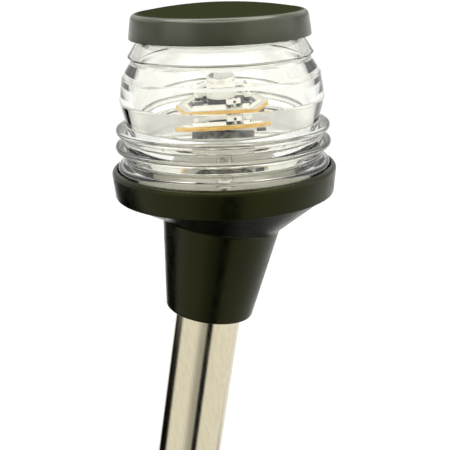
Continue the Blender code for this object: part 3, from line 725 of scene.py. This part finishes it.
def make_board(looks):
    """The board: laminate, masked copper inside its pale margin, white print, and small chips."""
    outline = hexagon(BOARD_TIP, BOARD_SHOULDER, BOARD_SHOULDER)
    shape = block(outline, 0.0, BOARD_THICK, 0.08, 1)
    board = on_board("board", shape, looks["laminate"], ["led_board"])
    cut(board, block(disc(3.2), -1.0, BOARD_THICK + 1.0), BOARD)
    areas = {
        "left": [(-11.4, 0.0), (-8.8, -7.4), (-3.0, -7.8), (-3.4, 7.8), (-8.8, 7.8)],
        "front": [(-2.6, -7.8), (1.2, -7.8), (1.6, -5.2), (-2.6, -5.2)],
        "right": [(5.2, -5.6), (8.8, -7.8), (11.4, 0.0), (8.8, 7.8), (4.0, 7.8), (4.0, -4.8)],
        "back": [(-2.6, 5.2), (3.2, 5.2), (3.2, 7.8), (-2.6, 7.8)],
    }
    for name, outline in areas.items():
        on_board(f"copper_{name}", block(outline, BOARD_THICK, SEAT), looks["copper"])
    prints = (
        rectangle(3.0, 2.4, -8.6, 2.6, 8.0),
        rectangle(5.4, 1.1, -7.2, -5.6, -10.0),
        rectangle(1.4, 1.4, -5.2, -2.6, 20.0),
        rectangle(0.5, 5.0, 10.0, -2.6, 18.0),
        rectangle(3.4, 0.5, 7.6, -5.6, 22.0),
    )
    for i, outline in enumerate(prints):
        on_board(f"print_{i + 1}", block(outline, SEAT, SEAT + 0.04), looks["silk"])
    for i, spot in enumerate(CHIP_PLACES):
        make_chip(f"chip_{i + 1}", spot, looks)


def spot_frame(spot):
    """Frame of a component that stands on the copper at (x, y), turned by degrees."""
    x, y, turn = spot
    place = Matrix.Translation(Vector((x, y, SEAT)) * MM)
    return BOARD @ place @ Matrix.Rotation(math.radians(turn), 4, "Z")


def make_chip(name, spot, looks):
    """Small chip with bright solder ends."""
    where = spot_frame(spot)
    on_board(name, block(rectangle(1.1, 0.8), 0.0, 0.4, 0.06, 1), looks["chip"], (), where)
    for side in (-1, 1):
        end = block(rectangle(0.45, 0.9, 0.78 * side), 0.0, 0.44, 0.12, 2)
        on_board(f"{name}_end_{side + 1}", end, looks["solder"], (), where)


def make_rim(looks):
    """White rim round the copper, open in front where an LED sits, with a taller bar on either side."""
    gap_from, gap_to = RIM_GAP
    outer = hexagon(RIM_TIP, RIM_CORNER, RIM_SHOULDER)
    inner = hexagon(RIM_TIP - RIM_WALL, RIM_CORNER - 0.4, RIM_SHOULDER - RIM_WALL)
    front, inside_front = outer[1][1], inner[1][1]
    outline = [(gap_to, front)] + outer[2:] + outer[:2] + [(gap_from, front), (gap_from, inside_front)]
    outline += inner[1::-1] + inner[:1:-1] + [(gap_to, inside_front)]
    shape = block(outline, SEAT, SEAT + RIM_HIGH, 0.1, 2)
    on_board("rim", shape, looks["rim"], ["board_rim"])
    spans = ((0.5 - RIM_CORNER, gap_from), (gap_to, RIM_CORNER - 0.3))
    for i, (start, end) in enumerate(spans):
        bar = rectangle(end - start, RIM_WALL, (start + end) / 2, (front + inside_front) / 2)
        shape = block(bar, SEAT + 0.3, SEAT + RIM_BAR_HIGH, 0.12, 2)
        on_board(f"rim_bar_{i + 1}", shape, looks["rim"])


def make_led(number, spot, looks):
    """White package with its window facing out, two dark marks on its top, and solder feet under it."""
    wide, deep, tall = LED_SIZE
    where = spot_frame(spot)
    high = LED_LIFT + tall
    package = block(rectangle(wide, deep), LED_LIFT, high, 0.2, 3)
    made = on_board(f"package_{number}", package, looks["package"], [f"led_{number}"], where)
    face = where @ Matrix.Translation((0.0, -deep / 2 * MM, (LED_LIFT + tall / 2) * MM))
    face = face @ Matrix.Rotation(math.pi / 2, 4, "X")
    cut(made, block(disc(0.52, *WINDOW_AT), -0.3, 0.3), face)
    window = block(disc(0.48, *WINDOW_AT), -0.28, -0.08)
    on_board(f"window_{number}", window, looks["window"], (), face)
    for side in (-1, 1):
        mark = block(disc(0.8, 1.05 * side, 0.1, squash=0.6), high - 0.05, high + 0.03)
        on_board(f"mark_{number}_{side + 1}", mark, looks["window"], (), where)
        leg = block(rectangle(1.0, deep - 0.3, 1.5 * side, 0.1), 0.02, LED_LIFT - 0.02, 0.15, 2)
        on_board(f"leg_{number}_{side + 1}", leg, looks["chip"], (), where)
    joint = block(rectangle(1.2, deep - 0.2, 0.0, -0.1), 0.02, LED_LIFT - 0.1, 0.2, 2)
    on_board(f"joint_{number}", joint, looks["solder"], (), where)


def make_capacitor(looks):
    """Capacitor: pale sleeve under a bare aluminium top with a dark part-round mark, on a cornered base."""
    half, corner = 4.3, 2.6
    base = [(-half, -half + corner), (-half + corner, -half), (half, -half), (half, half)]
    base += [(-half + corner, half), (-half, half - corner)]
    shape = block(base, SEAT, CAPACITOR_FROM - 0.3, 0.15)
    on_board("capacitor_foot", shape, looks["chip"], ["capacitor_base"])
    sleeve = [(0.0, CAPACITOR_FROM)] + arc(CAPACITOR_RADIUS - 0.3, CAPACITOR_FROM + 0.3, 0.3, -90.0, 0.0, 4)
    sleeve += arc(CAPACITOR_RADIUS - 0.1, CAPACITOR_SPLIT - 0.1, 0.1, 0.0, 90.0, 2) + [(0.0, CAPACITOR_SPLIT)]
    on_board("capacitor_sleeve", turned(sleeve, 64), looks["sleeve"], ["capacitor_can"])
    radius = CAPACITOR_RADIUS - 0.15
    top = arc(radius - 0.5, CAPACITOR_TO - 0.5, 0.5, 0.0, 90.0, 5)
    can_from = CAPACITOR_SPLIT + 0.02
    can = [(0.0, can_from), (radius, can_from)] + top + [(0.0, CAPACITOR_TO)]
    on_board("capacitor_top", turned(can, 64), looks["can"])
    shape = block(arc(0.0, 0.0, 3.9, 125.0, 235.0, 11), CAPACITOR_TO - 0.02, CAPACITOR_TO + 0.02)
    on_board("capacitor_mark", shape, looks["chip"])


def make_driver(looks):
    """The diode under the board, and the regulator on it with its legs."""
    diode = block(rectangle(3.0, 2.2, 12.4, -2.4), -1.5, -0.3, 0.25)
    on_board("diode_body", diode, looks["chip"], ["diode"])
    regulator = block(rectangle(3.0, 2.4, 2.6, 6.7), SEAT + 0.2, SEAT + 1.6, 0.2)
    on_board("regulator_body", regulator, looks["chip"], ["regulator"])
    for i in range(3):
        leg = block(rectangle(0.4, 0.8, 1.6 + i, 5.3), SEAT, SEAT + 0.3, 0.08, 1)
        on_board(f"regulator_leg_{i + 1}", leg, looks["solder"])


def make_screws(looks):
    """Pan-head screws in the deck, with a socket in each head, and the grub screw behind the neck."""
    for i in range(3):
        turn = Matrix.Rotation(math.radians(30.0 + 120.0 * i), 4, "Z")
        where = HEAD @ turn @ Matrix.Translation((SCREW_CIRCLE * MM, 0.0, 0.0))
        shank = [(0.0, SCREW_TIP), (1.1, SCREW_TIP), (1.5, SCREW_TIP + 0.6), (1.5, -3.0), (2.8, -3.0)]
        head = arc(1.6, -2.3, 1.2, 0.0, 80.0, 5) + [(0.9, -1.1), (0.9, -1.7), (0.0, -1.7)]
        shape = turned(shank + head, SMALL_ROUND)
        piece(f"screw_{i + 1}", shape, where, "housing", looks["screw"], [f"deck_screw_{i + 1}"])
    across = POLE @ Matrix.Translation((0.0, 0.0, NECK_SCREW_AT * MM)) @ Matrix.Rotation(-math.pi / 2, 4, "X")
    socket = [(1.0, 15.2), (1.0, 13.6), (0.0, 13.6)]
    shape = turned([(0.0, 11.4), (2.0, 11.4)] + arc(1.7, 14.9, 0.3, 0.0, 90.0, 3) + socket, SMALL_ROUND)
    piece("grub_screw", shape, across, "housing", looks["screw"], ["neck_screw"])


# Pole, plug and collar


def make_tube(looks):
    """The pole, with its cut end rounded over."""
    edge = 0.3
    profile = [(TUBE_BORE, TUBE_FROM), (TUBE_RADIUS - edge, TUBE_FROM)]
    profile += arc(TUBE_RADIUS - edge, TUBE_FROM + edge, edge, -60.0, 0.0, 3)
    profile += [(TUBE_RADIUS, TUBE_TO), (TUBE_BORE, TUBE_TO)]
    piece("tube", turned(profile), POLE, "housing", looks["tube"], ["pole_tube"])


def make_plug(looks):
    """The plug: rounded nose with a seal groove, shoulder, spigot in the tube, contact wells and a keyway."""
    nose = [(0.0, 0.0)] + arc(PLUG_RADIUS - 0.8, 0.8, 0.8, -90.0, 0.0, 5)
    groove = [(PLUG_RADIUS, PLUG_GROOVE_FROM), (PLUG_GROOVE_RADIUS, PLUG_GROOVE_FROM)]
    groove += [(PLUG_GROOVE_RADIUS, PLUG_GROOVE_TO), (PLUG_RADIUS, PLUG_GROOVE_TO)]
    shoulder = [(PLUG_RADIUS, PLUG_SHOULDER_FROM)]
    shoulder += arc(PLUG_SHOULDER_RADIUS - 0.4, PLUG_SHOULDER_FROM + 0.4, 0.4, -90.0, 0.0, 3)
    shoulder.append((PLUG_SHOULDER_RADIUS, PLUG_SHOULDER_TO))
    spigot = [(PLUG_SPIGOT_RADIUS, PLUG_SHOULDER_TO), (PLUG_SPIGOT_RADIUS, PLUG_TOP), (0.0, PLUG_TOP)]
    shape = turned(nose + groove + shoulder + spigot, MIDDLE_ROUND)
    plug = piece("plug", shape, POLE, "housing", looks["collar"], ["plug_body"])
    for side in (-1, 1):
        cut(plug, block(disc(1.9, side * CONTACT_SPREAD, 0.0), -1.0, 21.0), POLE)
    cut(plug, block(rectangle(3.0, 3.0, 0.0, -10.2), -1.0, 9.0), POLE)


def make_collar(looks):
    """Locking collar with finger flutes that fade out at its shoulder."""
    low, step, high = COLLAR_FROM, COLLAR_STEP, COLLAR_TO
    bore, skirt_bore, shoulder = COLLAR_BORE, COLLAR_SKIRT_BORE, COLLAR_SHOULDER
    fade = ((24.0, 1.0), (25.4, 0.75), (26.8, 0.2), (shoulder, 0.0))

    def section(angle):
        wave = max(0.0, math.cos(COLLAR_FLUTES * angle + math.pi)) ** 1.6 * FLUTE_DEPTH
        inside = [(skirt_bore, step), (skirt_bore, low + 0.6), (skirt_bore + 0.4, low)]
        edge = [(COLLAR_RADIUS - 0.9 - wave, low), (COLLAR_RADIUS - wave, low + 0.9)]
        side = [(COLLAR_RADIUS - wave * share, z) for z, share in fade]
        top = arc(COLLAR_RADIUS - 3.0, shoulder, 3.0, 12.0, 75.0, 6)
        lip = [(bore + 1.5, high - 1.6), (bore + 1.3, high - 0.4), (bore + 0.9, high)]
        lip += [(bore + 0.2, high), (bore, high - 0.2), (bore, step)]
        return inside + edge + side + top + lip

    shape = spun(section, 240)
    piece("collar", shape, POLE, "collar", looks["collar"], ["locking_collar"], sharp=40.0)


def seal_ring(name, radius, height, thick, where, body, node, looks):
    """Round rubber cord in a ring; thick is the cord's radius."""
    shape = turned(arc(radius, height, thick, 0.0, 345.0, 23), MIDDLE_ROUND)
    piece(name, shape, where, body, looks["rubber"], [node])


def make_seals(looks):
    """The three cord seals."""
    seal_ring("globe_cord_seal", 32.05, -4.65, 0.7, HEAD, "globe_seal_ring", "globe_seal", looks)
    seal_ring("cap_cord_seal", 23.5, 45.15, 0.45, HEAD, "globe", "cap_seal", looks)
    seal_ring("plug_cord_seal", 10.0, 14.0, 0.9, POLE, "housing", "plug_seal", looks)


def finish_nodes(looks):
    """Gives the CAD nodes that stay their materials."""
    kept = {
        "wire_red": "red",
        "wire_black": "wire_black",
        "wire_grommet": "rubber",
        "collar_seal": "rubber",
        "plug_contact_1": "brass",
        "plug_contact_2": "brass",
        "plug_pin": "screw",
    }
    for node, look in kept.items():
        mesh = frame["nodes"][node].data
        mesh.materials.clear()
        mesh.materials.append(looks[look])


# Studio: azimuth 0 is the camera's side and positive is to its right, in degrees. Each patch of the sky is
# (azimuth, half width, elevation, half height, soft edge), with its darkness or its gain.

DARK_SPOTS = (
    ((6.0, 7.0, -32.0, 20.0, 6.0), 1.0),  # the dark line down the pole
    ((-12.0, 4.0, -34.0, 14.0, 26.0), 0.5),  # the shade beside it
    ((-150.0, 80.0, -62.0, 18.0, 10.0), 0.85),  # unlit ground behind
    ((0.0, 60.0, -70.0, 12.0, 8.0), 0.9),  # unlit ground in front
    ((-126.0, 18.0, -30.0, 12.0, 14.0), 1.0),  # the pole's dark left edge
    ((180.0, 70.0, 7.0, 4.0, 4.0), 0.38),  # the grey bands in the globe
)
BRIGHT_SPOTS = (
    ((80.0, 30.0, 10.0, 35.0, 15.0), 0.15),  # a slightly brighter right side
    ((0.0, 180.0, 61.0, 8.0, 6.0), 3.4),  # a ring of light overhead, for the rims
    ((-54.0, 14.0, 14.0, 14.0, 14.0), 1.0),  # a soft box on the left
    ((68.0, 32.0, 14.0, 14.0, 12.0), 0.8),  # and one on the right
)


def make_camera():
    """Above the globe on its -Y side, a third of a metre away, looking down on it and a little rolled."""
    pitch, roll = math.radians(-16.97), math.radians(-1.88)
    away = Vector((-0.00035, -0.3173, 0.0769))
    forward = Vector((0.0, math.cos(pitch), math.sin(pitch)))
    right = Vector((1.0, 0.0, 0.0))
    up = right.cross(forward)
    turn = Matrix.Rotation(-roll, 3, forward)
    right, up = turn @ right, turn @ up
    data = bpy.data.cameras.new("camera")
    data.lens = 78.33
    data.sensor_width = 36.0
    data.clip_start = 0.01
    made = bpy.data.objects.new("camera", data)
    axes = Matrix((right, up, -forward)).transposed()
    made.matrix_world = Matrix.Translation(HEAD.translation + away) @ axes.to_4x4()
    bpy.context.scene.collection.objects.link(made)
    bpy.context.scene.camera = made


def make_floor():
    """Pale floor just under the plug's foot."""
    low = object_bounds()[0].z - 0.001
    shape = bmesh.new()
    half = 12.0
    corners = ((-half, -half), (half, -half), (half, half), (-half, half))
    shape.faces.new([shape.verts.new((x, y, low)) for x, y in corners])
    mesh = bpy.data.meshes.new("floor")
    shape.to_mesh(mesh)
    shape.free()
    made, tree, shader = plain("floor_white", FLOOR_TONES[0], 0.9)
    tree.links.new(mix_colors(tree, noise(tree, 3.0), *FLOOR_TONES), shader.inputs["Base Color"])
    mesh.materials.append(made)
    floor = bpy.data.objects.new("floor", mesh)
    floor.visible_glossy = False
    floor.visible_diffuse = False
    bpy.context.scene.collection.objects.link(floor)


def patch(tree, azimuth, elevation, spot):
    """1 inside a soft-edged patch of the sky, 0 outside it."""
    centre, half_width, height, half_height, soft = spot
    turned_away = calculate(tree, "WRAP", calculate(tree, "SUBTRACT", azimuth, centre), 180.0, -180.0)
    across = remap(tree, calculate(tree, "ABSOLUTE", turned_away), half_width, half_width + soft, 1.0, 0.0)
    off = calculate(tree, "ABSOLUTE", calculate(tree, "SUBTRACT", elevation, height))
    along = remap(tree, off, half_height, half_height + soft, 1.0, 0.0)
    return calculate(tree, "MULTIPLY", across, along)


def make_world():
    """A white studio with soft dark and bright patches."""
    world = bpy.data.worlds.new("studio")
    world.use_nodes = True
    tree = world.node_tree
    place = tree.nodes.new("ShaderNodeTexCoord")
    split = tree.nodes.new("ShaderNodeSeparateXYZ")
    tree.links.new(place.outputs["Generated"], split.inputs["Vector"])
    x, y, z = (split.outputs[axis] for axis in "XYZ")
    forward = calculate(tree, "MULTIPLY", y, -1.0)
    azimuth = calculate(tree, "DEGREES", calculate(tree, "ARCTAN2", x, forward))
    elevation = calculate(tree, "DEGREES", calculate(tree, "ARCSINE", z))
    light = 1.0
    for spot, darkness in DARK_SPOTS:
        kept = calculate(tree, "MULTIPLY_ADD", patch(tree, azimuth, elevation, spot), -darkness, 1.0)
        light = calculate(tree, "MULTIPLY", light, kept)
    for spot, gain in BRIGHT_SPOTS:
        light = calculate(tree, "MULTIPLY_ADD", patch(tree, azimuth, elevation, spot), gain, light)
    background = tree.nodes["Background"]
    background.inputs["Color"].default_value = (1.0, 0.985, 0.95, 1.0)
    tree.links.new(light, background.inputs["Strength"])
    bpy.context.scene.world = world


def main():
    looks = make_looks()
    make_globe(looks)
    make_cap(looks)
    make_ring(looks)
    make_index(looks)
    make_neck(looks)
    make_deck(looks)
    make_post(looks)
    make_crown(looks)
    make_board(looks)
    make_rim(looks)
    for i, spot in enumerate(LED_PLACES):
        make_led(i + 1, spot, looks)
    make_capacitor(looks)
    make_driver(looks)
    make_screws(looks)
    make_tube(looks)
    make_plug(looks)
    make_collar(looks)
    make_seals(looks)
    finish_nodes(looks)
    make_floor()
    make_world()
    make_camera()
    bpy.context.scene.view_settings.view_transform = "Standard"


main()
